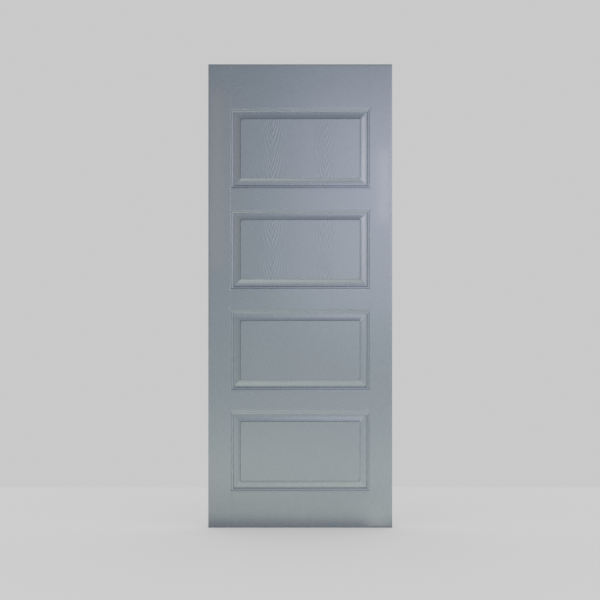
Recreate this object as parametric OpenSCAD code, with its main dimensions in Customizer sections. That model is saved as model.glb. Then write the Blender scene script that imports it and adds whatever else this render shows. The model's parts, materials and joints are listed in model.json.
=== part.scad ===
// Panelled front door leaf: two moulded fibreglass skins on a timber edge frame
// with a foam core. Millimetres. +Z is up, +X runs across the leaf from the hinge
// edge to the lock edge, and the outer face looks along -Y. The origin is at the
// middle of the bottom edge.

/* [Leaf] */
// Width of the leaf
leaf_w = 810; // [650:5:1000]
// Height of the leaf
leaf_h = 2040; // [1650:5:2450]
// Thickness over both skins
leaf_t = 44; // [36:1:56]
// Wall of a moulded skin
skin_t = 2; // [1.5:0.1:2.6]

/* [Panel layout] */
// Number of panels, one above the other
panel_rows = 4; // [1:1:5]
// Flat of a stile, from the leaf's edge to a panel's outline
stile_face_w = 99; // [90:1:125]
// Flat of the top rail
top_rail_face_h = 198; // [120:1:240]
// Flat between two panels
mid_rail_face_h = 96; // [60:1:120]
// Flat of the bottom rail
bottom_rail_face_h = 162; // [110:1:220]

/* [Panel moulding] */
// Width of the moulding, from a panel's outline to its field
mould_w = 44; // [36:1:60]
// Radius of the outer of the two rounds
outer_round_r = 3.5; // [3:0.1:5]
// Flat between the two rounds
ledge_w = 4; // [2:0.5:6]
// Radius of the inner round, which falls to the foot of the cove
inner_round_r = 5; // [3:0.1:6]
// Height and width of the shoulder that the cove rises to
shoulder = 1.5; // [1:0.1:2.5]
// How far a panel's field lies below the stiles and rails
field_drop = 1; // [0.5:0.1:3]

/* [Edge frame] */
// Thickness of the plastic band on each long edge
edge_band_t = 3; // [1:0.5:5]
// Width of a stile behind its band
stile_w = 57; // [40:1:70]
// Height of the top rail inside the leaf
top_rail_h = 63; // [45:1:100]
// Height of the bottom rail inside the leaf
bottom_rail_h = 76; // [45:1:100]

/* [Lock block] */
// Clearance from the block to the panels' outline
lock_block_gap = 3; // [1:0.5:8]
// Height of the block
lock_block_h = 400; // [200:10:600]
// Height of the block's middle above the floor
lock_centre_z = 1000; // [850:10:1150]

/* [Corner fasteners] */
// Length of a corrugated strip across the joint
strip_l = 30; // [20:1:40]
// Depth that a strip is driven into the frame
strip_d = 12; // [8:0.5:16]
// Thickness of the strip's steel
strip_t = 0.8; // [0.5:0.1:1.2]
// Distance from crest to crest
wave_l = 6; // [4:0.5:10]
// Height of the waves over the strip's middle line
wave_h = 3; // [2:0.5:5]

/* [Hidden] */

// What follows from the sizes above
frame_t = leaf_t - 2 * skin_t;
panel_w = leaf_w - 2 * stile_face_w;
panels_h = leaf_h - top_rail_face_h - bottom_rail_face_h - (panel_rows - 1) * mid_rail_face_h;
panel_h = panels_h / panel_rows;
stile_x = leaf_w / 2 - edge_band_t;
rail_end_x = stile_x - stile_w;
lock_block_w = stile_face_w - edge_band_t - stile_w - lock_block_gap;

// The moulding's section. The first number runs from the outline towards the field,
// the second down into the door.
inner_round_u = outer_round_r + ledge_w;
cove_foot = [inner_round_u + inner_round_r, outer_round_r + inner_round_r];
cove_top = [mould_w - shoulder, field_drop + shoulder];
cove_w = cove_top[0] - cove_foot[0];
cove_h = cove_foot[1] - cove_top[1];
cove_r = (pow(cove_w, 2) + pow(cove_h, 2)) / (2 * cove_h);
cove_angle = 2 * atan(cove_h / cove_w);
round_steps = 4;
cove_steps = 10;
lead = 5;      // flat that the section's line starts and ends with
air = 1;       // how far a cut reaches past a face

function arc(centre, r, from, to, steps) =
    [for (i = [0:steps]) let (a = from + (to - from) * i / steps) centre + r * [cos(a), sin(a)]];

// Everything but an arc's first point, for an arc that starts where another ends
function tail(points) = [for (i = [1:len(points) - 1]) points[i]];

section_line = concat(
    [[-lead, 0]],
    arc([0, outer_round_r], outer_round_r, -90, 0, round_steps),
    arc([inner_round_u, cove_foot[1]], inner_round_r, -90, 0, round_steps),
    tail(arc(cove_foot - [0, cove_r], cove_r, 90, 90 - cove_angle, cove_steps)),
    [[mould_w, field_drop], [mould_w + lead, field_drop]]
);

// The unit vector into the door, square to the stretch from a to b
function inward(a, b) = let (d = (b - a) / norm(b - a)) [-d[1], d[0]];

// The line's inner points, moved into the door by the given wall
function behind(line, wall) = [
    for (i = [1:len(line) - 2])
        let (n1 = inward(line[i - 1], line[i]), n2 = inward(line[i], line[i + 1]))
        line[i] + wall * (n1 + n2) / (1 + n1 * n2)
];

// The section of the hollow in front of the moulding, deepened by a wall. Its mouth
// is at the given depth.
module hollow_section(wall, mouth) {
    points = behind(section_line, wall);
    last = points[len(points) - 1];
    polygon(concat(points, [[last[0], mouth], [points[0][0], mouth]]));
}

// One side of the hollow, mitred at both ends, along +X from the outline's corner
module hollow_side(length, wall, mouth) {
    over = wall + air;
    reach = mould_w + air;
    depth = cove_foot[1] + wall + 2 * air;
    intersection() {
        translate([-over, 0, 0])
            rotate([90, 0, 90])
                linear_extrude(length + 2 * over) hollow_section(wall, mouth);
        translate([0, 0, -2 * air])
            linear_extrude(depth + 2 * air)
                polygon([[-over, -over], [length + over, -over], [length - reach, reach], [reach, reach]]);
    }
}

// The whole hollow of one panel, lying in the XY plane with its depth along +Z
module panel_hollow(wall, mouth) {
    corners = [[0, 0], [panel_w, 0], [panel_w, panel_h], [0, panel_h]];
    for (side = [0:3])
        translate(corners[side])
            rotate(90 * side)
                hollow_side(side % 2 == 0 ? panel_w : panel_h, wall, mouth);
    inset = mould_w - shoulder;
    translate([inset, inset, mouth])
        cube([panel_w - 2 * inset, panel_h - 2 * inset, field_drop + wall - mouth]);
}

// The hollows of all the panels, set into the outer face
module all_hollows(wall, mouth) {
    translate([stile_face_w - leaf_w / 2, -leaf_t / 2, bottom_rail_face_h])
        mirror([0, 1, 0])
            rotate([90, 0, 0])
                for (row = [0:panel_rows - 1])
                    translate([0, row * (panel_h + mid_rail_face_h), 0])
                        panel_hollow(wall, mouth);
}

// What the back of a skin takes up behind its flat, seen from the outer side
module skin_backs() {
    all_hollows(skin_t, skin_t / 2);
}

module skin() {
    difference() {
        union() {
            translate([-leaf_w / 2, -leaf_t / 2, 0]) cube([leaf_w, skin_t, leaf_h]);
            skin_backs();
        }
        all_hollows(0, -air);
    }
}

module outer_skin() {
    color("#8d959c") skin();
}

module inner_skin() {
    color("#8d959c") mirror([0, 1, 0]) skin();
}

// A corrugated steel strip, its middle at the origin, along X and driven along +Y
module corrugated_strip() {
    half_waves = round(strip_l / (wave_l / 2));
    step = strip_l / half_waves;
    crest = (wave_h - strip_t) / 2;
    line = [for (i = [0:half_waves]) [i * step - strip_l / 2, i % 2 == 0 ? -crest : crest]];
    rotate([-90, 0, 0])
        linear_extrude(strip_d)
            polygon(concat(
                [for (p = line) p + [0, strip_t / 2]],
                [for (i = [half_waves:-1:0]) line[i] - [0, strip_t / 2]]
            ));
}

// Two strips from each face across the joint of a rail whose bottom is at z
module strips_of_joint(x, z, rail_h) {
    for (face = [0, 1])
        mirror([0, face, 0])
            for (share = [1 / 4, 3 / 4])
                translate([x, -frame_t / 2, z + rail_h * share])
                    corrugated_strip();
}

module all_strips() {
    for (x = [-rail_end_x, rail_end_x]) {
        strips_of_joint(x, 0, bottom_rail_h);
        strips_of_joint(x, leaf_h - top_rail_h, top_rail_h);
    }
}

module corner_fasteners() {
    color("silver") all_strips();
}

// A stile on the +X side, notched for the strips
module stile() {
    difference() {
        translate([rail_end_x, -frame_t / 2, 0]) cube([stile_w, frame_t, leaf_h]);
        all_strips();
    }
}

module hinge_stile() {
    color("burlywood") mirror([1, 0, 0]) stile();
}

module lock_stile() {
    color("burlywood") stile();
}

// A rail between the stiles, its bottom at z
module rail(z, h) {
    difference() {
        translate([-rail_end_x, -frame_t / 2, z]) cube([2 * rail_end_x, frame_t, h]);
        all_strips();
    }
}

module top_rail() {
    color("burlywood") rail(leaf_h - top_rail_h, top_rail_h);
}

module bottom_rail() {
    color("#b9b2a3") rail(0, bottom_rail_h);
}

module edge_band(x) {
    translate([x, -frame_t / 2, 0]) cube([edge_band_t, frame_t, leaf_h]);
}

module hinge_edge_band() {
    color("#848c93") edge_band(-leaf_w / 2);
}

module lock_edge_band() {
    color("#848c93") edge_band(stile_x);
}

module lock_block_body() {
    translate([rail_end_x - lock_block_w, -frame_t / 2, lock_centre_z - lock_block_h / 2])
        cube([lock_block_w, frame_t, lock_block_h]);
}

module lock_block() {
    color("tan") lock_block_body();
}

// The foam fills what the skins, the frame and the lock block leave free
module foam_core() {
    color("khaki")
        difference() {
            translate([-rail_end_x, -frame_t / 2, bottom_rail_h])
                cube([2 * rail_end_x, frame_t, leaf_h - bottom_rail_h - top_rail_h]);
            skin_backs();
            mirror([0, 1, 0]) skin_backs();
            lock_block_body();
        }
}

outer_skin();
inner_skin();
hinge_stile();
lock_stile();
top_rail();
bottom_rail();
hinge_edge_band();
lock_edge_band();
lock_block();
foam_core();
corner_fasteners();
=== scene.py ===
"""Looks of a panelled front door leaf: two moulded glass-fibre skins, plastic edge
bands, a laminated timber frame, a foam core and the strips that hold the frame's
corners. Metres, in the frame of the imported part: +Z up, +X from the hinge edge to
the lock edge, and the outer face looks along -Y."""

import json
import math

import bpy
from bpy.props import FloatProperty, IntProperty, PointerProperty, StringProperty
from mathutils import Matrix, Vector

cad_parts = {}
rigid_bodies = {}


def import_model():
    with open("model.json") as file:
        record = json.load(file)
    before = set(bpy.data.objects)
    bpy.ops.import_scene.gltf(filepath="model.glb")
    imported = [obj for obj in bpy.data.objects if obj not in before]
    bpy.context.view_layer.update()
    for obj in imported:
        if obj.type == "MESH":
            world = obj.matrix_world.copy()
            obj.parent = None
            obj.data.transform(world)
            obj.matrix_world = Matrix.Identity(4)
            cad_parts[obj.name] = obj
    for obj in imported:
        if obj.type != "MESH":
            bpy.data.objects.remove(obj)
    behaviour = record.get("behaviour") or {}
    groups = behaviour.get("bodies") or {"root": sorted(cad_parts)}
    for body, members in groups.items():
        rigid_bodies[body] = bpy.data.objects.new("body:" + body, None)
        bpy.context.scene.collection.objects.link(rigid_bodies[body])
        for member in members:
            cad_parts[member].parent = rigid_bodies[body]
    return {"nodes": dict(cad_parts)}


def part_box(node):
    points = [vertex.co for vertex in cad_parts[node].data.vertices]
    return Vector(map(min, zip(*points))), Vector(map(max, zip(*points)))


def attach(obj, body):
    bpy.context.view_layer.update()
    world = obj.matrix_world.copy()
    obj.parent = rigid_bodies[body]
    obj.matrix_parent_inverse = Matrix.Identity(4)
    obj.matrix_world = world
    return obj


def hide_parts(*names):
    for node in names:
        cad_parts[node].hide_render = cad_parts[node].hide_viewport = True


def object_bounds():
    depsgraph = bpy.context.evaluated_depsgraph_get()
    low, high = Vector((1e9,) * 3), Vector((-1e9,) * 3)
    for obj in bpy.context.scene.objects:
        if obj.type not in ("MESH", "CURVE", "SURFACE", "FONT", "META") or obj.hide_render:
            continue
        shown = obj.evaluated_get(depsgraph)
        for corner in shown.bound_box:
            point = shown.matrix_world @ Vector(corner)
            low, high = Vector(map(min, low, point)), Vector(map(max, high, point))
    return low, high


bl_info = {
    "name": "Panelled Door Leaf",
    "version": (1, 0, 0),
    "blender": (4, 5, 0),
    "location": "3D View > Sidebar > Door",
    "description": "Builds the finish of a moulded, panelled front door leaf",
    "category": "Object",
}

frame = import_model()
CAD_LOW, CAD_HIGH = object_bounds()

LEAF_W = CAD_HIGH.x - CAD_LOW.x
LEAF_H = CAD_HIGH.z - CAD_LOW.z
LEAF_T = CAD_HIGH.y - CAD_LOW.y
MM = 0.001
MATH = "ShaderNodeMath"
NODE_GAP = 180    # between nodes in the editor
CREASE = math.radians(20)         # a sharper bend than this stays an edge
BAND_CREASE = math.radians(30)    # the same for an edge band, whose arrises have fewer faces

# The boards that a skin's grain is drawn as. A board's number is twice its course, and one more on
# the right half. Panels and stiles count on from UPRIGHT, stiles from STILE as well.
UPRIGHT, STILE, INNER = 10.0, 20.0, 50.0
LAST_WORN = 13.0     # the last panel board whose figure is worn
FAR_HEART = 0.55     # from the leaf's middle to the heart of a stile's figure
RAIL_HEART = 0.17    # from a rail's panel line to the heart of its figure


# ---- settings


def length(name, description, millimetres, **more):
    """A length setting, kept in metres and given in millimetres."""
    return FloatProperty(
        name=name, description=description, default=millimetres * MM, min=0.0,
        subtype="DISTANCE", unit="LENGTH", precision=5, **more,
    )


def position(name, description, metres, **more):
    """A place along an axis, in metres, of either sign."""
    return FloatProperty(
        name=name, description=description, default=metres,
        subtype="DISTANCE", unit="LENGTH", precision=4, **more,
    )


def strength(name, description, default):
    """How strong a light is."""
    return FloatProperty(name=name, description=description, default=default, min=0.0)


def colour(name, description, hex_value):
    """A colour setting, written as an sRGB hex value."""
    return StringProperty(name=name, description=description, default=hex_value)


class DoorSkinSettings(bpy.types.PropertyGroup):
    """Sizes of a moulded skin. The layout is that of the solid part."""

    wall: length("Wall", "Thickness of a skin", 2.0)
    rows: IntProperty(name="Panels", description="Number of panels in the column", default=4, min=1)
    stile_face: length("Stile", "Flat from the leaf's edge to a panel's outline", 99.0)
    top_rail_face: length("Top Rail", "Flat above the panels", 198.0)
    mid_rail_face: length("Mid Rail", "Flat between two panels", 96.0)
    bottom_rail_face: length("Bottom Rail", "Flat below the panels", 162.0)
    mould_w: length("Moulding", "Width of the moulding, from outline to field", 44.0)
    outer_round: length("Outer Round", "Radius of the outer of the two rounds", 3.5)
    ledge: length("Ledge", "Flat between the two rounds", 4.0)
    inner_round: length("Inner Round", "Radius of the inner round", 5.0)
    shoulder: length("Shoulder", "Height and width of the shoulder above the cove", 1.5)
    field_drop: length("Field Drop", "Depth of a field below the stiles", 1.0)
    joint_w: length("Joint Width", "Width of the groove where a rail meets a stile", 1.6)
    joint_depth: length("Joint Depth", "Depth of that groove", 0.3)
    edge_round: length("Edge Round", "Round on the leaf's outer edges", 0.6)
    mesh_step: length("Mesh Step", "Longest edge of the mesh on the flats", 12.0)
    left_heart: position("Left Heart", "Middle of the left board's grain figure in a panel", -0.125)
    right_heart: position("Right Heart", "Middle of the right board's grain figure in a panel", 0.113)


class DoorStripSettings(bpy.types.PropertyGroup):
    """Sizes of a corrugated strip that holds a corner of the frame."""

    strip_l: length("Length", "Length across the joint", 30.0)
    depth: length("Depth", "How deep it is driven into the frame", 12.0)
    thickness: length("Thickness", "Thickness of the steel", 0.8)
    wave_l: length("Wave Length", "From crest to crest", 6.0)
    wave_h: length("Wave Height", "Height of the waves over all", 3.0)
    ground_edge: length("Ground Edge", "How much of the leading edge is ground thin", 1.5)


class DoorColourSettings(bpy.types.PropertyGroup):
    """Colours of the finishes."""

    skin: colour("Skin", "Through-coloured glass-fibre sheet", "#656C72")
    band: colour("Edge Band", "Extruded PVC in the skin's colour", "#6A7177")
    veneer_light: colour("Light Veneer", "Paler layers of the laminated timber", "#D9BC8C")
    veneer_dark: colour("Dark Veneer", "Darker layers and glue lines", "#9B7443")
    board: colour("Composite Board", "Bottom rail", "#A69C87")
    foam: colour("Foam", "Rigid polyurethane", "#E3CF93")
    zinc: colour("Zinc", "Plated steel strip", "#B9BCBE")


class DoorStageSettings(bpy.types.PropertyGroup):
    """The camera, the floor and the lights."""

    eye_x: position("Eye Across", "How far the camera stands off the leaf's middle", -0.001)
    eye_height: position("Eye Height", "Height of the camera", 1.002)
    distance: position("Distance", "From the camera to the leaf's outer face", 6.0)
    view_height: position("View Height", "Height that the picture takes in at the leaf", 2.64)
    floor_reach: position("Floor Reach", "Half the floor's width", 9.0)
    floor_end: position("Floor End", "Where the floor ends behind the leaf", 1.27)
    floor_colour: colour("Floor", "Plain pale floor", "#D2D2D3")
    floor_light: strength("Floor Light", "Strength of the lamp over the floor", 6.0)
    floor_light_angle: FloatProperty(
        name="Floor Light Angle", description="How wide that lamp is, which softens shadows",
        default=math.radians(100), min=0.0, max=math.pi, subtype="ANGLE", unit="ROTATION",
    )
    back_colour: colour("Background", "Plain pale background", "#D4D4D4")
    back_light: strength("Background Light", "Brightness of the background that the camera sees", 1.75)
    fill_colour: colour("Fill", "Surroundings that light the leaf", "#FFECDE")
    fill_light: strength("Fill Light", "Brightness of the surroundings", 0.256)


SETTINGS = {
    "door_skin": DoorSkinSettings,
    "door_strips": DoorStripSettings,
    "door_colours": DoorColourSettings,
    "door_stage": DoorStageSettings,
}


# ---- small tools


def linear(hex_value):
    """The linear RGBA of an sRGB hex colour."""
    channels = [int(hex_value[i:i + 2], 16) / 255 for i in (1, 3, 5)]
    return [c / 12.92 if c <= 0.04045 else ((c + 0.055) / 1.055) ** 2.4 for c in channels] + [1.0]


def scaled(rgba, by):
    """A colour made lighter or darker."""
    return [c * by for c in rgba[:3]] + [1.0]


def add(tree, kind, inputs=(), operation=None, **settings):
    """Adds a node. Inputs go by name or number, or in their order. Each takes a value, a socket, or a
    node, which means its first output. A maths node has an operation too."""
    made = tree.nodes.new(kind)
    made.location = (NODE_GAP * len(tree.nodes), 0)
    if operation:
        made.operation = operation
    for name, value in settings.items():
        setattr(made, name, value)
    given = inputs.items() if isinstance(inputs, dict) else enumerate(inputs)
    for key, value in given:
        if isinstance(value, bpy.types.Node):
            value = value.outputs[0]
        if isinstance(value, bpy.types.NodeSocket):
            tree.links.new(value, made.inputs[key])
        else:
            made.inputs[key].default_value = value
    return made


def new_material(name):
    """An empty node material and its tree."""
    material = bpy.data.materials.new(name)
    material.use_nodes = True
    material.node_tree.nodes.clear()
    return material, material.node_tree


def end_material(tree, share, tones, height, surface):
    """Ends a material: a blend of two tones, relief of a height in metres, and other surface inputs."""
    tint = add(tree, "ShaderNodeMix", {"Factor": share, "A": tones[0], "B": tones[1]}, data_type="RGBA")
    relief = add(tree, "ShaderNodeBump", {"Height": height, "Distance": 1.0, "Strength": 1.0})
    surface = {"Base Color": tint.outputs["Result"], "Normal": relief, **surface}
    shader = add(tree, "ShaderNodeBsdfPrincipled", surface)
    add(tree, "ShaderNodeOutputMaterial", {"Surface": shader})


def new_object(name, mesh):
    """An object at the origin, in the scene."""
    made = bpy.data.objects.new(name, mesh)
    bpy.context.scene.collection.objects.link(made)
    return made


def run_nodes(piece, tree, values):
    """Runs a geometry tree on a piece with the named input values, and keeps the result as a plain mesh."""
    modifier = piece.modifiers.new(tree.name, "NODES")
    modifier.node_group = tree
    for item in tree.interface.items_tree:
        if item.item_type == "SOCKET" and item.in_out == "INPUT" and item.name in values:
            modifier[item.identifier] = values[item.name]
    graph = bpy.context.evaluated_depsgraph_get()
    result = bpy.data.meshes.new_from_object(
        piece.evaluated_get(graph), preserve_all_data_layers=True, depsgraph=graph
    )
    piece.modifiers.remove(modifier)
    piece.data = result
    if not result.polygons:
        raise RuntimeError(f"{tree.name} made nothing for {piece.name}")


def geometry_tree(name, numbers, counts=()):
    """A geometry tree with named inputs, and its input sockets."""
    tree = bpy.data.node_groups.new(name, "GeometryNodeTree")
    kinds = [("Geometry", "NodeSocketGeometry")]
    kinds += [(number, "NodeSocketFloat") for number in numbers]
    kinds += [(count, "NodeSocketInt") for count in counts]
    kinds += [("Material", "NodeSocketMaterial")]
    for socket, kind in kinds:
        tree.interface.new_socket(socket, in_out="INPUT", socket_type=kind)
    tree.interface.new_socket("Geometry", in_out="OUTPUT", socket_type="NodeSocketGeometry")
    return tree, add(tree, "NodeGroupInput").outputs


def end_tree(tree, geometry, material):
    """Ends a geometry tree: smooth but for its creases, real mesh, with its material."""
    smooth = add(tree, "GeometryNodeSetShadeSmooth", {"Geometry": geometry, "Shade Smooth": True})
    bend = add(tree, "GeometryNodeInputMeshEdgeAngle")
    creased = add(tree, MATH, (bend.outputs["Unsigned Angle"], CREASE), "GREATER_THAN")
    sharp = add(
        tree, "GeometryNodeSetShadeSmooth",
        {"Geometry": smooth, "Selection": creased, "Shade Smooth": False}, domain="EDGE",
    )
    whole = add(tree, "GeometryNodeRealizeInstances", (sharp,))
    finished = add(tree, "GeometryNodeSetMaterial", {"Geometry": whole, "Material": material})
    add(tree, "NodeGroupOutput", (finished,))


def filled(lines, step):
    """The given lines, with more between them wherever they lie further apart than step."""
    round_off = 1e-6
    out = []
    for a, b in zip(lines, lines[1:]):
        parts = max(1, math.ceil((b - a) / step - round_off))
        out += [a + (b - a) * i / parts for i in range(parts)]
    return out + [lines[-1]]


# ---- the skins


def panel_height(s):
    """Height of a panel, from outline to outline."""
    rails = s.top_rail_face + s.bottom_rail_face + (s.rows - 1) * s.mid_rail_face
    return (LEAF_H - rails) / s.rows


def section_marks(s):
    """Where the inner round, the cove and the shoulder start, inwards from a panel's outline."""
    inner_start = s.outer_round + s.ledge
    return inner_start, inner_start + s.inner_round, s.mould_w - s.shoulder


def round_lines(start, radius, steps):
    """Places across a quarter round, at equal angles."""
    return [start + radius * math.sin(math.pi / 2 * i / steps) for i in range(steps + 1)]


def section_places(s, round_steps, cove_steps):
    """Places from a panel's outline towards its field where the moulding's section bends."""
    inner_start, painted_shade_heights, top = section_marks(s)
    cove = [painted_shade_heights + (top - painted_shade_heights) * i / cove_steps for i in range(1, cove_steps + 1)]
    outer = round_lines(0.0, s.outer_round, round_steps)
    inner = round_lines(inner_start, s.inner_round, round_steps)
    return outer + inner + cove + [s.mould_w]


def sheet_lines(s, fine):
    """The x and z lines of a skin's sheet: the fine ones for its face, the others for its back."""
    edge_steps = 5
    if fine:
        section = section_places(s, round_steps=6, cove_steps=8)
        edge = [s.edge_round * (1 - math.cos(math.pi / 2 * i / edge_steps)) for i in range(edge_steps + 1)]
        joint = [s.joint_w / 2]
        step = s.mesh_step
    else:
        section = section_places(s, round_steps=2, cove_steps=2)
        edge = [0.0]
        joint = []
        step = LEAF_H
    panel_half = LEAF_W / 2 - s.stile_face
    half = [panel_half - u for u in reversed(section)] + [panel_half + j for j in joint]
    half += [LEAF_W / 2 - e for e in reversed(edge)]
    x_lines = [-x for x in reversed(half)] + half
    panel_h = panel_height(s)
    z_lines = list(edge)
    for row in range(s.rows):
        low = s.bottom_rail_face + row * (panel_h + s.mid_rail_face)
        z_lines += [low + u for u in section] + [low + panel_h - u for u in reversed(section)]
    z_lines += [LEAF_H - e for e in reversed(edge)]
    return filled(x_lines, step), filled(z_lines, step)


def flat_skin(name, s):
    """A closed sheet that lies flat: a fine face at y = 0, a coarse back at the wall, and four sides."""
    points, faces, rims = [], [], []
    for fine, y in ((True, 0.0), (False, s.wall)):
        xs, zs = sheet_lines(s, fine)
        first = len(points)
        points += [(x, y, z) for z in zs for x in xs]
        across, up = len(xs), len(zs)

        def at(i, k):
            return first + k * across + i

        for k in range(up - 1):
            for i in range(across - 1):
                quad = (at(i, k), at(i + 1, k), at(i + 1, k + 1), at(i, k + 1))
                faces.append(quad if fine else quad[::-1])
        rims.append([
            [at(i, 0) for i in range(across)],
            [at(across - 1, k) for k in range(up)],
            [at(i, up - 1) for i in reversed(range(across))],
            [at(0, k) for k in reversed(range(up))],
        ])
    for face_rim, back_rim in zip(*rims):
        faces.append(tuple(back_rim + face_rim[::-1]))
    mesh = bpy.data.meshes.new(name)
    mesh.from_pydata(points, [], faces)
    mesh.validate()
    return new_object(name, mesh)


def press_tree():
    """Geometry nodes that press panels, joints and rounded edges into a flat sheet, and mark its boards.

    Everything follows from a point's distance u inside the nearest panel's outline, which the
    attribute inside keeps. The attribute board holds the place across and along the grain, and
    the board's number."""
    tree, given = geometry_tree("Press Panels", (
        "Leaf Half Width", "Leaf Height", "Panel Half Width", "Panel Half Height", "Half Rail", "Pitch",
        "First Panel", "Last Row", "Outer Round", "Inner Start", "Inner Round", "Cove Start", "Cove Width",
        "Cove Radius", "Shoulder Start", "Shoulder", "Joint Half Width", "Joint Depth", "Edge Round",
        "Left Heart", "Right Heart", "Board Offset",
    ))
    point = add(tree, "ShaderNodeSeparateXYZ", (add(tree, "GeometryNodeInputPosition"),))
    x, z = point.outputs["X"], point.outputs["Z"]
    off_centre = add(tree, MATH, (x,), "ABSOLUTE")

    # The nearest panel, and the distances inside its outline
    rise = add(tree, MATH, (z, given["First Panel"]), "SUBTRACT")
    past = add(tree, MATH, (rise, given["Half Rail"]), "ADD")
    past = add(tree, MATH, (past, given["Pitch"]), "DIVIDE")
    course = add(tree, MATH, (past,), "FLOOR")
    row = add(tree, MATH, (course, 0.0), "MAXIMUM")
    row = add(tree, MATH, (row, given["Last Row"]), "MINIMUM")
    middle = add(tree, MATH, (row, given["Pitch"], given["Panel Half Height"]), "MULTIPLY_ADD")
    off_middle = add(tree, MATH, (rise, middle), "SUBTRACT")
    off_middle = add(tree, MATH, (off_middle,), "ABSOLUTE")
    inside_x = add(tree, MATH, (given["Panel Half Width"], off_centre), "SUBTRACT")
    inside_z = add(tree, MATH, (given["Panel Half Height"], off_middle), "SUBTRACT")
    u = add(tree, MATH, (inside_x, inside_z), "MINIMUM")

    # How near the leaf's edges are, on the face but not on the sheet's back
    side = add(tree, MATH, (given["Leaf Half Width"], off_centre), "SUBTRACT")
    head = add(tree, MATH, (given["Leaf Height"], z), "SUBTRACT")
    from_edge = add(tree, MATH, (head, z), "MINIMUM")
    from_edge = add(tree, MATH, (from_edge, side), "MINIMUM")
    over_edge = add(tree, MATH, (given["Edge Round"], from_edge), "SUBTRACT")
    on_face = add(tree, MATH, (point.outputs["Y"], MM / 2), "LESS_THAN")

    # Rounds, each as the place along it, its start, width, radius, and whether it falls or rises
    depth = 0.0
    for along, start, width, radius, way in (
        (u, 0.0, given["Outer Round"], given["Outer Round"], 1.0),
        (u, given["Inner Start"], given["Inner Round"], given["Inner Round"], 1.0),
        (u, given["Cove Start"], given["Cove Width"], given["Cove Radius"], -1.0),
        (over_edge, 0.0, given["Edge Round"], given["Edge Round"], on_face),
    ):
        run = add(tree, MATH, (along, start), "SUBTRACT")
        run = add(tree, MATH, (run, 0.0), "MAXIMUM")
        run = add(tree, MATH, (run, width), "MINIMUM")
        turn = add(tree, MATH, (run, radius), "DIVIDE")
        turn = add(tree, MATH, (turn,), "ARCSINE")
        level = add(tree, MATH, (turn,), "COSINE")
        fall = add(tree, MATH, (1.0, level), "SUBTRACT")
        fall = add(tree, MATH, (fall, radius), "MULTIPLY")
        depth = add(tree, MATH, (fall, way, depth), "MULTIPLY_ADD")
    lift = add(tree, MATH, (u, given["Shoulder Start"]), "SUBTRACT")
    lift = add(tree, MATH, (lift, 0.0), "MAXIMUM")
    lift = add(tree, MATH, (lift, given["Shoulder"]), "MINIMUM")
    depth = add(tree, MATH, (depth, lift), "SUBTRACT")

    # The groove where a rail meets a stile
    beyond = add(tree, MATH, (inside_z, 0.0), "LESS_THAN")
    off = add(tree, MATH, (inside_x,), "ABSOLUTE")
    off = add(tree, MATH, (off, given["Joint Half Width"]), "DIVIDE")
    cut = add(tree, MATH, (1.0, off), "SUBTRACT", use_clamp=True)
    cut = add(tree, MATH, (cut, given["Joint Depth"]), "MULTIPLY")
    depth = add(tree, MATH, (cut, beyond, depth), "MULTIPLY_ADD")

    # Upright boards are the stiles and the panels, lying ones the rails
    in_panel = add(tree, MATH, (u, 0.0), "GREATER_THAN")
    in_stile = add(tree, MATH, (inside_x, 0.0), "LESS_THAN")
    upright = add(tree, MATH, (in_panel, in_stile), "MAXIMUM")
    between_hearts = add(tree, MATH, (given["Left Heart"], given["Right Heart"]), "ADD")
    between_hearts = add(tree, MATH, (between_hearts, 0.5), "MULTIPLY")
    right_half = add(tree, MATH, (x, between_hearts), "GREATER_THAN")
    on_faces = [
        add(tree, "GeometryNodeFieldOnDomain", (value,), domain="FACE")
        for value in (upright, in_stile, right_half, course)
    ]
    upright, in_stile, right_half, course = on_faces
    hearts = (right_half, given["Left Heart"], given["Right Heart"])
    heart = add(tree, "GeometryNodeSwitch", hearts, input_type="FLOAT")
    stile_heart = add(tree, MATH, (right_half, 2 * FAR_HEART, -FAR_HEART), "MULTIPLY_ADD")
    heart = add(tree, "GeometryNodeSwitch", (in_stile, heart, stile_heart), input_type="FLOAT")
    across = add(tree, MATH, (x, heart), "SUBTRACT")
    upright_place = add(tree, "ShaderNodeCombineXYZ", (across, z))
    course_start = add(tree, MATH, (course, given["Pitch"]), "MULTIPLY")
    across = add(tree, MATH, (rise, course_start), "SUBTRACT")
    across = add(tree, MATH, (across, RAIL_HEART), "ADD")
    lying_place = add(tree, "ShaderNodeCombineXYZ", (across, x))
    number = add(tree, MATH, (course, 2.0, right_half), "MULTIPLY_ADD")
    number = add(tree, MATH, (number, given["Board Offset"]), "ADD")
    number = add(tree, MATH, (in_stile, STILE, number), "MULTIPLY_ADD")
    number = add(tree, MATH, (upright, UPRIGHT, number), "MULTIPLY_ADD")
    spot = add(tree, "GeometryNodeSwitch", (upright, lying_place, upright_place), input_type="VECTOR")
    number = add(tree, "ShaderNodeCombineXYZ", {"Z": number})
    board = add(tree, "ShaderNodeVectorMath", (spot, number))
    marked = given["Geometry"]
    marks = (("board", board, "FLOAT_VECTOR", "CORNER"), ("inside", u, "FLOAT", "POINT"))
    for name, value, data_type, domain in marks:
        marked = add(
            tree, "GeometryNodeStoreNamedAttribute", {"Geometry": marked, "Name": name, "Value": value},
            data_type=data_type, domain=domain,
        )
    push = add(tree, "ShaderNodeCombineXYZ", {"Y": depth})
    moved = add(tree, "GeometryNodeSetPosition", {"Geometry": marked, "Offset": push})
    end_tree(tree, moved, given["Material"])
    return tree


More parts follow.
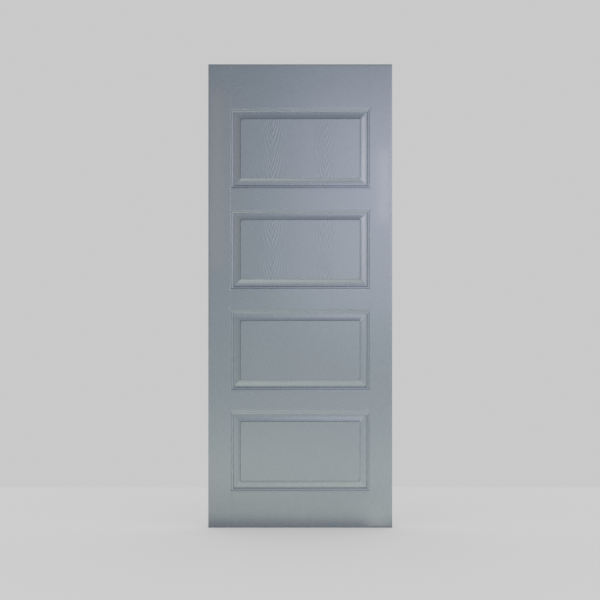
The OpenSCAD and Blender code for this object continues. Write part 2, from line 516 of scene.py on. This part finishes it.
def growth_rings(tree, across, along, number):
    """How far out in the trunk each point of a board lies, and how strong the arches are there.

    Lines of equal distance are nested arches over the board's heart, one nest above the other, and
    nearly straight beside it. The boards of the lower panels have worn, fainter arches."""
    heart_depth = 5 * MM    # of the board's face over the trunk's middle
    heart_w = 42 * MM       # half the width of the arches
    slope = 0.3             # of the arches' sides
    nest_h = 154 * MM       # height of a nest of arches
    nest_shift = 0.077      # share of a nest that the next board's are shifted by
    fade_power = 0.3        # how short the faint ends of a nest are
    wander_by = 20 * MM     # how far a ring strays from its even place
    wander_across, wander_along = 9.0, 3.0    # strays in each metre
    worn_share = 0.45       # of the arches' strength on a worn board
    stray = add(tree, MATH, (across, wander_across), "MULTIPLY")
    stray_up = add(tree, MATH, (along, wander_along), "MULTIPLY")
    drift = add(tree, "ShaderNodeCombineXYZ", (stray, stray_up, number))
    wander = add(tree, "ShaderNodeTexNoise", {"Vector": drift, "Scale": 1.0, "Detail": 2.0})
    squared = add(tree, MATH, (across, 2.0), "POWER")
    near = add(tree, MATH, (squared, -1 / heart_w ** 2), "MULTIPLY")
    near = add(tree, MATH, (near,), "EXPONENT")
    shift = add(tree, MATH, (number, nest_shift), "MULTIPLY")
    nest = add(tree, MATH, (along, 1 / nest_h, shift), "MULTIPLY_ADD")
    nest = add(tree, MATH, (nest,), "FRACT")
    rise = add(tree, MATH, (nest, -slope * nest_h, slope * nest_h / 2), "MULTIPLY_ADD")
    reach = add(tree, MATH, (squared, heart_depth ** 2), "ADD")
    reach = add(tree, MATH, (reach,), "SQRT")
    ring = add(tree, MATH, (rise, near, reach), "MULTIPLY_ADD")
    ring = add(tree, MATH, (wander, wander_by, ring), "MULTIPLY_ADD")
    fade = add(tree, MATH, (nest, math.pi), "MULTIPLY")
    fade = add(tree, MATH, (fade,), "SINE")
    fade = add(tree, MATH, (fade, fade_power), "POWER")
    worn = add(
        tree, "ShaderNodeMapRange",
        {"Value": number, "From Min": LAST_WORN, "From Max": LAST_WORN + 1, "To Min": worn_share},
    )
    near = add(tree, MATH, (near, fade), "MULTIPLY")
    near = add(tree, MATH, (near, worn), "MULTIPLY")
    return ring, near


def moulded_glass_fibre(name, hex_value, rounds_end, creases):
    """Glass-fibre sheet, compression moulded in an oak-grained die.

    Through-coloured and satin: the colour is even, but for painted shade, a darker line painted along each
    crease of the mouldings and painted darkest near the ground, and the grain shows only as relief."""
    # Real grain lines lie 1 to 3 mm apart and pores are 0.5 mm wide: drawn coarser so that they show
    streak_w, streak_l = 4.5 * MM, 60 * MM
    ring_gap = 12 * MM
    pore_w, pore_l = 2.2 * MM, 34 * MM
    pore_edge, pore_floor = 0.42, 0.7         # of the noise that the pores are cut from
    cloud_w, cloud_l = 110 * MM, 330 * MM
    streak_shift, pore_shift = 7.0, 5.0       # from board to board, so that no two are alike
    arch_share, plain_share = 0.68, 0.08      # of the streaks' depth over the heart and elsewhere
    rounds_share = 0.15                       # of the grain's depth on the tight rounds
    calm_end, grain_start = 1 * MM, 3 * MM    # past the rounds, where the depth comes back
    foot_low, foot_high = 0.2, 0.3            # below and above these heights, the painted shade in the creases is at its most and its least
    streak_depth, ring_depth, pore_depth = 0.55 * MM, 0.29 * MM, 0.04 * MM
    material, tree = new_material(name)
    board = add(tree, "ShaderNodeAttribute", attribute_name="board")
    across, along, number = add(tree, "ShaderNodeSeparateXYZ", (board.outputs["Vector"],)).outputs
    ring, near = growth_rings(tree, across, along, number)
    turns = add(tree, MATH, (ring, 2 * math.pi / ring_gap), "MULTIPLY")
    wave = add(tree, MATH, (turns,), "SINE")
    streak_x = add(tree, MATH, (ring, 1 / streak_w), "MULTIPLY")
    streak_y = add(tree, MATH, (along, 1 / streak_l), "MULTIPLY")
    streak_z = add(tree, MATH, (number, streak_shift), "MULTIPLY")
    streak_place = add(tree, "ShaderNodeCombineXYZ", (streak_x, streak_y, streak_z))
    streaks = add(tree, "ShaderNodeTexNoise", {"Vector": streak_place, "Scale": 1.0, "Detail": 3.0})
    spot = board.outputs["Vector"]
    stretch = (1 / pore_w, 1 / pore_l, pore_shift)
    pore_place = add(tree, "ShaderNodeVectorMath", (spot, stretch), "MULTIPLY")
    pores = add(tree, "ShaderNodeTexNoise", {"Vector": pore_place, "Scale": 1.0, "Detail": 3.0})
    pores = add(tree, "ShaderNodeMapRange", {"Value": pores, "From Min": pore_edge, "From Max": pore_floor})
    figure = add(tree, MATH, (wave, ring_depth / 2), "MULTIPLY")
    figure = add(tree, MATH, (figure, near), "MULTIPLY")
    share = add(tree, MATH, (near, arch_share, plain_share), "MULTIPLY_ADD")
    lines = add(tree, MATH, (streaks, streak_depth), "MULTIPLY")
    lines = add(tree, MATH, (lines, share, figure), "MULTIPLY_ADD")
    height = add(tree, MATH, (pores, -pore_depth, lines), "MULTIPLY_ADD")

    # The grain is shallow on the tight rounds, which the die leaves nearly smooth
    inside = add(tree, "ShaderNodeAttribute", attribute_name="inside").outputs["Fac"]
    off_rounds = add(tree, MATH, (inside, rounds_end / 2), "SUBTRACT")
    off_rounds = add(tree, MATH, (off_rounds,), "ABSOLUTE")
    ends = {"From Min": rounds_end / 2 + calm_end, "From Max": rounds_end / 2 + grain_start}
    depth_share = add(tree, "ShaderNodeMapRange", {"Value": off_rounds, "To Min": rounds_share, **ends})
    height = add(tree, MATH, (height, depth_share), "MULTIPLY")
    rough = add(tree, "ShaderNodeMapRange", {"Value": pores, "To Min": 0.25, "To Max": 0.32})
    stretch = (1 / cloud_w, 1 / cloud_l, 1.0)
    cloud_place = add(tree, "ShaderNodeVectorMath", (spot, stretch), "MULTIPLY")
    cloud = add(tree, "ShaderNodeTexNoise", {"Vector": cloud_place, "Scale": 1.0, "Detail": 2.0})
    base = linear(hex_value)
    tint = add(
        tree, "ShaderNodeMix",
        {"Factor": cloud, "A": scaled(base, 0.96), "B": scaled(base, 1.04)}, data_type="RGBA",
    )
    # Painted shade: a dark line is painted along each crease, and painted darker still on the panels near
    # the ground
    where = add(tree, "ShaderNodeTexCoord").outputs["Object"]
    over_floor = add(tree, "ShaderNodeSeparateXYZ", (where,)).outputs["Z"]
    painted_shade_heights = {"From Min": foot_low, "From Max": foot_high, "To Min": 1.0, "To Max": 0.0}
    low = add(tree, "ShaderNodeMapRange", {"Value": over_floor, **painted_shade_heights})
    dark = 0.0
    for crease, half, darker, more in creases:
        off = add(tree, MATH, (inside, crease), "SUBTRACT")
        off = add(tree, MATH, (off,), "ABSOLUTE")
        line = add(tree, MATH, (off, -1 / half, 1.0), "MULTIPLY_ADD", use_clamp=True)
        painted_shade_amount = add(tree, MATH, (low, more, darker), "MULTIPLY_ADD")
        dark = add(tree, MATH, (line, painted_shade_amount, dark), "MULTIPLY_ADD")
    tones = (tint.outputs["Result"], linear("#000000"))
    end_material(tree, dark, tones, height, {"Roughness": rough, "IOR": 1.5})
    return material


def press_values(s, number_offset, material):
    """Input values of the pressing nodes for a skin."""
    panel_h = panel_height(s)
    inner_start, cove_start, shoulder_start = section_marks(s)
    cove_w = shoulder_start - cove_start
    cove_h = s.outer_round + s.inner_round - s.field_drop - s.shoulder
    return {
        "Leaf Half Width": LEAF_W / 2, "Leaf Height": LEAF_H,
        "Panel Half Width": LEAF_W / 2 - s.stile_face, "Panel Half Height": panel_h / 2,
        "Half Rail": s.mid_rail_face / 2, "Pitch": panel_h + s.mid_rail_face,
        "First Panel": s.bottom_rail_face, "Last Row": float(s.rows - 1),
        "Outer Round": s.outer_round, "Inner Start": inner_start, "Inner Round": s.inner_round,
        "Cove Start": cove_start, "Cove Width": cove_w,
        "Cove Radius": (cove_w ** 2 + cove_h ** 2) / (2 * cove_h),
        "Shoulder Start": shoulder_start, "Shoulder": s.shoulder,
        "Joint Half Width": s.joint_w / 2, "Joint Depth": s.joint_depth, "Edge Round": s.edge_round,
        "Left Heart": s.left_heart, "Right Heart": s.right_heart, "Board Offset": number_offset,
        "Material": material,
    }


class DOOR_OT_press_skins(bpy.types.Operator):
    """Press the outer and the inner skin"""

    bl_idname = "door.press_skins"
    bl_label = "Press Skins"

    def execute(self, context):
        s = context.scene.door_skin
        rounds_end = section_marks(s)[1]
        # Painted shade along the creases of the mouldings, painted darker near the ground
        creases = (
            # place inside a panel's outline, half width, how much darker the painted shade is, and how much
            # more at the foot
            (s.outer_round, 1.8 * MM, 0.12, 0.1),
            (rounds_end, 2.6 * MM, 0.15, 0.35),
            (s.mould_w - s.shoulder / 2, 2.0 * MM, 0.38, 0.0),
        )
        skin_hex = context.scene.door_colours.skin
        material = moulded_glass_fibre("glass_fibre_moulded_satin", skin_hex, rounds_end, creases)
        tree = press_tree()
        for name, node, number_offset, turned in (
            ("moulded_outer_skin", "outer_skin", 0.0, False),
            ("moulded_inner_skin", "inner_skin", INNER, True),
        ):
            piece = flat_skin(name, s)
            run_nodes(piece, tree, press_values(s, number_offset, material))
            for vertex in piece.data.vertices:
                y = vertex.co.y - LEAF_T / 2
                vertex.co.y = -y if turned else y
            if turned:
                piece.data.flip_normals()
            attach(piece, "root")
            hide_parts(node)
        return {"FINISHED"}


# ---- the edge bands


def extruded_pvc(name, hex_value):
    """PVC strip, extruded in the skin's colour.

    Even and satin, with faint lines along it from the die."""
    # Real lines lie under 1 mm apart: drawn coarser so that they show
    line_w, line_l = 1.6 * MM, 1600 * MM
    line_depth = 0.05 * MM
    material, tree = new_material(name)
    spot = add(tree, "ShaderNodeTexCoord").outputs["Object"]
    stretch = (1 / line_w, 1 / line_w, 1 / line_l)
    drawn = add(tree, "ShaderNodeVectorMath", (spot, stretch), "MULTIPLY")
    lines = add(tree, "ShaderNodeTexNoise", {"Vector": drawn, "Scale": 1.0, "Detail": 2.0})
    height = add(tree, MATH, (lines, line_depth), "MULTIPLY")
    rough = add(
        tree, "ShaderNodeMapRange",
        {"Value": lines, "From Min": 0.3, "From Max": 0.7, "To Min": 0.30, "To Max": 0.42},
    )
    base = linear(hex_value)
    tones = (scaled(base, 0.96), scaled(base, 1.04))
    end_material(tree, lines, tones, height, {"Roughness": rough, "IOR": 1.53})
    return material


def edge_band(name, low, high, outward, material):
    """A strip whose two outer arrises are rounded, drawn up the whole edge of the leaf."""
    radius, steps, course = 0.6 * MM, 4, 0.12
    inner_x, outer_x = (high.x, low.x) if outward < 0 else (low.x, high.x)
    section = [(inner_x, high.y), (inner_x, low.y)]
    for centre_y, start in ((low.y + radius, -90.0), (high.y - radius, 0.0)):
        for i in range(steps + 1):
            turn = math.radians(start + 90.0 * i / steps)
            out = outward * radius * (math.cos(turn) - 1)
            section.append((outer_x + out, centre_y + radius * math.sin(turn)))
    levels = filled([low.z, high.z], course)
    count = len(section)
    points = [(x, y, z) for z in levels for x, y in section]
    faces = [tuple(range(count)), tuple(range(len(points) - 1, len(points) - count - 1, -1))]
    for level in range(len(levels) - 1):
        for i in range(count):
            j = (i + 1) % count
            low_i, low_j = level * count + i, level * count + j
            faces.append((low_i, low_i + count, low_j + count, low_j))
    if outward > 0:
        faces = [face[::-1] for face in faces]
    mesh = bpy.data.meshes.new(name)
    mesh.from_pydata(points, [], faces)
    mesh.materials.append(material)
    mesh.set_sharp_from_angle(angle=BAND_CREASE)
    return new_object(name, mesh)


class DOOR_OT_fit_edge_bands(bpy.types.Operator):
    """Fit a plastic band along each long edge"""

    bl_idname = "door.fit_edge_bands"
    bl_label = "Fit Edge Bands"

    def execute(self, context):
        material = extruded_pvc("pvc_extruded_satin", context.scene.door_colours.band)
        for name, node, outward in (
            ("hinge_side_band", "hinge_edge_band", -1),
            ("lock_side_band", "lock_edge_band", 1),
        ):
            low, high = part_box(node)
            piece = edge_band(name, Vector(low), Vector(high), outward, material)
            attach(piece, "root")
            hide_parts(node)
        return {"FINISHED"}


# ---- the frame and the core


def laminated_veneer(name, light_hex, dark_hex, along):
    """Laminated veneer lumber, rotary cut, glued and planed.

    Layers 3 mm thick in slightly different tones, a dark glue line between them, and fine fibres."""
    # Real glue is 0.1 mm thick and real fibres are 0.1 mm wide: drawn coarser so that they show
    layer, glue_share = 3.2 * MM, 0.18
    fibre_w, fibre_l = 2.4 * MM, 110 * MM
    fibre_depth = 0.12 * MM
    layer_dark, fibre_dark, glue_dark = 0.6, 0.4, 0.6   # how far each goes from the light to the dark tone
    material, tree = new_material(name)
    spot = add(tree, "ShaderNodeTexCoord").outputs["Object"]
    parts = add(tree, "ShaderNodeSeparateXYZ", (spot,))
    stack = add(tree, MATH, (parts.outputs["Y"], 1 / layer), "MULTIPLY")
    index = add(tree, MATH, (stack,), "FLOOR")
    tone = add(tree, "ShaderNodeTexWhiteNoise", {"W": index}, noise_dimensions="1D")
    in_layer = add(tree, MATH, (stack,), "FRACT")
    glue = add(tree, MATH, (in_layer, glue_share), "LESS_THAN")
    stretch = [1 / fibre_w] * 3
    stretch["xyz".index(along)] = 1 / fibre_l
    drawn = add(tree, "ShaderNodeVectorMath", (spot, stretch), "MULTIPLY")
    fibres = add(tree, "ShaderNodeTexNoise", {"Vector": drawn, "Scale": 1.0, "Detail": 4.0})
    shade = add(tree, MATH, (tone, layer_dark), "MULTIPLY")
    shade = add(tree, MATH, (fibres, fibre_dark, shade), "MULTIPLY_ADD")
    shade = add(tree, MATH, (glue, glue_dark, shade), "MULTIPLY_ADD", use_clamp=True)
    height = add(tree, MATH, (fibres, fibre_depth), "MULTIPLY")
    rough = add(tree, "ShaderNodeMapRange", {"Value": fibres, "To Min": 0.55, "To Max": 0.7})
    end_material(tree, shade, (linear(light_hex), linear(dark_hex)), height, {"Roughness": rough})
    return material


def pressed_composite(name, hex_value):
    """Moisture-proof composite board, pressed from foam and fibre crumbs and sawn.

    A matt, speckled surface, slightly rough to the touch."""
    crumb, grit = 3 * MM, 1.1 * MM
    grit_depth = 0.2 * MM
    material, tree = new_material(name)
    spot = add(tree, "ShaderNodeTexCoord").outputs["Object"]
    crumbs = add(tree, "ShaderNodeTexVoronoi", {"Vector": spot, "Scale": 1 / crumb})
    fine = add(tree, "ShaderNodeTexNoise", {"Vector": spot, "Scale": 1 / grit, "Detail": 3.0})
    tone = add(tree, "ShaderNodeSeparateColor", (crumbs.outputs["Color"],))
    base = linear(hex_value)
    height = add(tree, MATH, (fine, grit_depth), "MULTIPLY")
    rough = add(tree, "ShaderNodeMapRange", {"Value": fine, "To Min": 0.72, "To Max": 0.88})
    end_material(tree, tone, (scaled(base, 0.7), scaled(base, 1.15)), height, {"Roughness": rough})
    return material


def rigid_foam(name, hex_value):
    """Rigid polyurethane foam, poured and set.

    Matt and finely pitted with open cells."""
    cell, cell_depth = 2 * MM, 0.5 * MM   # real cells are under 1 mm: drawn coarser so that they show
    material, tree = new_material(name)
    spot = add(tree, "ShaderNodeTexCoord").outputs["Object"]
    cells = add(tree, "ShaderNodeTexVoronoi", {"Vector": spot, "Scale": 1 / cell})
    base = linear(hex_value)
    height = add(tree, MATH, (cells, cell_depth), "MULTIPLY")
    end_material(tree, cells, (base, scaled(base, 0.75)), height, {"Roughness": 0.9})
    return material


def finish_nodes(material, *nodes):
    """Gives nodes that keep their own shape a material."""
    for node in nodes:
        mesh = frame["nodes"][node].data
        mesh.materials.clear()
        mesh.materials.append(material)


class DOOR_OT_finish_frame(bpy.types.Operator):
    """Finish the timber stiles, rails and lock block"""

    bl_idname = "door.finish_frame"
    bl_label = "Finish Frame"

    def execute(self, context):
        c = context.scene.door_colours
        upright = laminated_veneer("laminated_veneer_upright", c.veneer_light, c.veneer_dark, "z")
        lying = laminated_veneer("laminated_veneer_lying", c.veneer_light, c.veneer_dark, "x")
        finish_nodes(upright, "hinge_stile", "lock_stile", "lock_block")
        finish_nodes(lying, "top_rail")
        finish_nodes(pressed_composite("composite_board_sawn", c.board), "bottom_rail")
        return {"FINISHED"}


class DOOR_OT_fill_core(bpy.types.Operator):
    """Finish the foam core"""

    bl_idname = "door.fill_core"
    bl_label = "Fill Core"

    def execute(self, context):
        finish_nodes(rigid_foam("polyurethane_foam_rigid", context.scene.door_colours.foam), "foam_core")
        return {"FINISHED"}


# ---- the corner fasteners


def zinc_plated_steel(name, hex_value):
    """Spring steel strip, rolled to waves and zinc plated.

    Bright and slightly mottled, with fine marks from the rolls."""
    mark, mark_depth = 0.8 * MM, 0.02 * MM
    material, tree = new_material(name)
    spot = add(tree, "ShaderNodeTexCoord").outputs["Object"]
    marks = add(tree, "ShaderNodeTexNoise", {"Vector": spot, "Scale": 1 / mark, "Detail": 3.0})
    rough = add(
        tree, "ShaderNodeMapRange",
        {"Value": marks, "From Min": 0.3, "From Max": 0.7, "To Min": 0.25, "To Max": 0.42},
    )
    base = linear(hex_value)
    tones = (scaled(base, 0.92), scaled(base, 1.08))
    height = add(tree, MATH, (marks, mark_depth), "MULTIPLY")
    end_material(tree, marks, tones, height, {"Metallic": 1.0, "Roughness": rough})
    return material


def strip_tree():
    """Geometry nodes that set a corrugated strip on each point, its waves across the joint.

    A strip is driven in along +Y from the outer face and along -Y from the inner one, and its
    leading edge is ground thin."""
    numbers = ("Length", "Depth", "Thickness", "Wave Length", "Wave Rise", "Ground Edge", "Edge Share")
    tree, given = geometry_tree("Corrugated Strips", numbers, ("Steps",))

    # A flat bar with three rows of points, its middle row moved up to where the grinding starts
    size = add(tree, "ShaderNodeCombineXYZ", (given["Length"], given["Depth"], given["Thickness"]))
    bar = add(
        tree, "GeometryNodeMeshCube",
        {"Size": size, "Vertices X": given["Steps"], "Vertices Y": 3, "Vertices Z": 2},
    )
    point = add(tree, "ShaderNodeSeparateXYZ", (add(tree, "GeometryNodeInputPosition"),))
    x, y, z = point.outputs
    half_depth = add(tree, MATH, (given["Depth"], 0.5), "MULTIPLY")
    to_middle = add(tree, MATH, (half_depth, given["Ground Edge"]), "SUBTRACT")
    off_middle = add(tree, MATH, (y,), "ABSOLUTE")
    is_middle = add(tree, MATH, (off_middle, MM), "LESS_THAN")
    forward = add(tree, MATH, (is_middle, to_middle, half_depth), "MULTIPLY_ADD")
    is_edge = add(tree, MATH, (y, MM), "GREATER_THAN")
    thinner = add(tree, MATH, (given["Edge Share"], 1.0), "SUBTRACT")
    thinner = add(tree, MATH, (thinner, z), "MULTIPLY")
    thinner = add(tree, MATH, (thinner, is_edge), "MULTIPLY")

    # The waves
    half_length = add(tree, MATH, (given["Length"], 0.5), "MULTIPLY")
    run = add(tree, MATH, (x, half_length), "ADD")
    turn = add(tree, MATH, (run, given["Wave Length"]), "DIVIDE")
    turn = add(tree, MATH, (turn, 2 * math.pi), "MULTIPLY")
    wave = add(tree, MATH, (turn,), "COSINE")
    lift = add(tree, MATH, (wave, given["Wave Rise"], thinner), "MULTIPLY_ADD")
    offset = add(tree, "ShaderNodeCombineXYZ", {"Y": forward, "Z": lift})
    strip = add(tree, "GeometryNodeSetPosition", {"Geometry": bar, "Offset": offset})

    # One on each point, turned about on the inner side
    inner = add(tree, MATH, (y, 0.0), "GREATER_THAN")
    about = add(tree, MATH, (inner, math.pi), "MULTIPLY")
    about = add(tree, "ShaderNodeCombineXYZ", {"Z": about})
    about = add(tree, "FunctionNodeEulerToRotation", (about,))
    placed = add(
        tree, "GeometryNodeInstanceOnPoints",
        {"Points": given["Geometry"], "Instance": strip, "Rotation": about},
    )
    end_tree(tree, placed, given["Material"])
    return tree


class DOOR_OT_drive_fasteners(bpy.types.Operator):
    """Drive corrugated strips across the frame's corner joints"""

    bl_idname = "door.drive_fasteners"
    bl_label = "Drive Fasteners"

    def execute(self, context):
        t = context.scene.door_strips
        steps_a_wave = 24
        edge_share = 0.3    # of the steel's thickness, left at the ground edge
        points = []
        for rail in ("bottom_rail", "top_rail"):
            low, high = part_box(rail)
            for share in (1 / 4, 3 / 4):
                z = low[2] + (high[2] - low[2]) * share
                points += [(x, y, z) for x in (low[0], high[0]) for y in (low[1], high[1])]
        mesh = bpy.data.meshes.new("corrugated_strips")
        mesh.from_pydata(points, [], [])
        piece = new_object("corrugated_strips", mesh)
        run_nodes(piece, strip_tree(), {
            "Length": t.strip_l, "Depth": t.depth, "Thickness": t.thickness, "Wave Length": t.wave_l,
            "Wave Rise": (t.wave_h - t.thickness) / 2, "Ground Edge": t.ground_edge,
            "Edge Share": edge_share, "Steps": round(t.strip_l / t.wave_l * steps_a_wave) + 1,
            "Material": zinc_plated_steel("steel_zinc_plated", context.scene.door_colours.zinc),
        })
        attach(piece, "root")
        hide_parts("corner_fasteners")
        return {"FINISHED"}


# ---- the stage


SENSOR_W = 36.0      # of the camera, in millimetres
WINDOW = "#E7E4FF"   # daylight
SCREEN = "#CDD4FC"   # daylight through a diffusing screen
ROOM = "#E6E6FF"     # light off the room's walls
CARD = "#F1FFEE"     # light off its floor
GLOW = "#FFC890"     # warm light off something near
WHITE = "#FFFFFF"
UP, DOWN, ACROSS, INTO = (0, 0, 1), (0, 0, -1), (1, 0, 0), (0, 1, 0)
LAMPS = (
    # name, place, aim, width and height in metres, watts, tint
    ("window", (1.8, -3.0, 1.75), INTO, 1.2, 1.3, 80.0, WINDOW),
    ("screen", (0.6, -3.0, 1.65), INTO, 1.2, 1.5, 44.0, SCREEN),
    ("foot_card", (0.1, -0.12, 0.002), UP, 1.4, 0.2, 0.5, CARD),
    ("foot_card_right", (0.35, -0.17, 0.002), UP, 0.1, 0.25, 0.15, CARD),
    ("stile_glow_right", (0.38, -0.2, 1.52), INTO, 0.04, 0.33, 0.17, WINDOW),
    ("stile_glow_left", (-0.38, -0.22, 1.55), INTO, 0.04, 0.8, 0.115, GLOW),
    ("near_card_left", (-0.7, -0.42, 0.002), UP, 1.2, 0.35, 6.0, CARD),
    ("near_card", (0.2, -0.42, 0.002), UP, 0.6, 0.35, 3.4, CARD),
    ("near_card_right", (1.1, -0.42, 0.002), UP, 1.2, 0.35, 12.0, CARD),
    ("middle_card_left", (-0.8, -1.4, 0.002), UP, 1.6, 1.0, 23.8, CARD),
    ("middle_card_right", (0.8, -1.4, 0.002), UP, 1.6, 1.0, 17.0, CARD),
    ("far_card_left", (-0.8, -2.4, 0.002), UP, 1.6, 1.0, 26.0, CARD),
    ("far_card_right", (0.8, -2.4, 0.002), UP, 1.6, 1.0, 15.0, CARD),
)
EDGE_LAMPS = (
    ("hinge_side", (-3.0, 0.0, 1.0), ACROSS, 1.5, 2.0, 55.0, ROOM),
    ("ceiling", (0.0, 0.0, 5.0), DOWN, 2.0, 2.0, 70.0, CARD),
)


def lamp(kind, name, place, aim, watts, tint, lit):
    """A lamp at a place, turned towards aim, that lights only the pieces in lit."""
    data = bpy.data.lights.new(name, kind)
    data.energy = watts
    data.color = linear(tint)[:3]
    made = new_object(name, data)
    made.location = place
    made.rotation_euler = Vector(aim).to_track_quat("-Z", "Y").to_euler()
    made.visible_camera = False
    made.light_linking.receiver_collection = lit
    return data


def soft_lamps(lamps, side, ending, lit):
    """Soft rectangular lamps, on the outer side, or on the inner one where side is -1."""
    turn = Vector((1, side, 1))
    for name, place, aim, width, height, watts, tint in lamps:
        place, aim = turn * Vector(place), turn * Vector(aim)
        data = lamp("AREA", name + ending, place, aim, watts, tint, lit)
        data.shape = "RECTANGLE"
        data.size, data.size_y = width, height


def light_studio(scene, floor, g):
    """Soft lamps before each face of the leaf, two for its edges alone, and one over the floor."""
    lit = {name: bpy.data.collections.new(f"lit_{name}") for name in ("door", "floor", "edges")}
    lit["floor"].objects.link(floor)
    for piece in scene.objects:
        if piece.type == "MESH" and piece != floor:
            lit["door"].objects.link(piece)
            if "skin" not in piece.name:
                lit["edges"].objects.link(piece)
    soft_lamps(LAMPS, 1, "_outer", lit["door"])
    soft_lamps(LAMPS, -1, "_inner", lit["door"])
    soft_lamps(EDGE_LAMPS, 1, "", lit["edges"])
    data = lamp("SUN", "overhead", (0.0, 0.0, 4.0), DOWN, g.floor_light, WHITE, lit["floor"])
    data.angle = g.floor_light_angle


def set_background(scene, g):
    """A plain world: one brightness where the camera sees it, another as fill light."""
    world = bpy.data.worlds.new("studio")
    scene.world = world
    world.use_nodes = True
    tree = world.node_tree
    tree.nodes.clear()
    seen = add(tree, "ShaderNodeBackground", (linear(g.back_colour), g.back_light))
    fill = add(tree, "ShaderNodeBackground", (linear(g.fill_colour), g.fill_light))
    path = add(tree, "ShaderNodeLightPath")
    both = add(tree, "ShaderNodeMixShader", (path.outputs["Is Camera Ray"], fill, seen))
    add(tree, "ShaderNodeOutputWorld", (both,))


def lay_floor(g):
    """A plain floor that ends behind the leaf, where the background begins."""
    material, tree = new_material("floor_plain")
    shader = add(tree, "ShaderNodeBsdfPrincipled", {"Base Color": linear(g.floor_colour), "Roughness": 0.7})
    add(tree, "ShaderNodeOutputMaterial", {"Surface": shader})
    r, end = g.floor_reach, g.floor_end
    mesh = bpy.data.meshes.new("floor")
    mesh.from_pydata([(-r, -r, 0), (r, -r, 0), (r, end, 0), (-r, end, 0)], [], [(0, 1, 2, 3)])
    mesh.materials.append(material)
    floor = new_object("floor", mesh)
    floor.visible_diffuse = False
    floor.visible_glossy = False
    return floor


class DOOR_OT_set_stage(bpy.types.Operator):
    """Set the camera, the floor, the background and the lamps"""

    bl_idname = "door.set_stage"
    bl_label = "Set Stage"

    def execute(self, context):
        scene = context.scene
        g = scene.door_stage
        camera = bpy.data.cameras.new("camera")
        camera.sensor_width = SENSOR_W
        camera.lens = SENSOR_W * g.distance / g.view_height
        eye = new_object("camera", camera)
        eye.location = (g.eye_x, CAD_LOW.y - g.distance, g.eye_height)
        eye.rotation_euler = (math.pi / 2, 0.0, 0.0)
        scene.camera = eye
        floor = lay_floor(g)
        set_background(scene, g)
        light_studio(scene, floor, g)
        return {"FINISHED"}


# ---- the add-on


STEPS = (
    DOOR_OT_press_skins,
    DOOR_OT_fit_edge_bands,
    DOOR_OT_finish_frame,
    DOOR_OT_fill_core,
    DOOR_OT_drive_fasteners,
    DOOR_OT_set_stage,
)


class DOOR_PT_builder(bpy.types.Panel):
    """Lists the settings and the steps that build the door"""

    bl_idname = "DOOR_PT_builder"
    bl_label = "Panelled Door Leaf"
    bl_space_type = "VIEW_3D"
    bl_region_type = "UI"
    bl_category = "Door"

    def draw(self, context):
        for key, group in SETTINGS.items():
            box = self.layout.box()
            for name in group.__annotations__:
                box.prop(getattr(context.scene, key), name)
        for step in STEPS:
            self.layout.operator(step.bl_idname)


CLASSES = (*SETTINGS.values(), *STEPS, DOOR_PT_builder)


def register():
    for each in CLASSES:
        bpy.utils.register_class(each)
    for key, group in SETTINGS.items():
        setattr(bpy.types.Scene, key, PointerProperty(type=group))


def unregister():
    for key in SETTINGS:
        delattr(bpy.types.Scene, key)
    for each in reversed(CLASSES):
        bpy.utils.unregister_class(each)


def main():
    register()
    bpy.ops.door.press_skins()
    bpy.ops.door.fit_edge_bands()
    bpy.ops.door.finish_frame()
    bpy.ops.door.fill_core()
    bpy.ops.door.drive_fasteners()
    bpy.ops.door.set_stage()


if __name__ == "__main__":
    main()
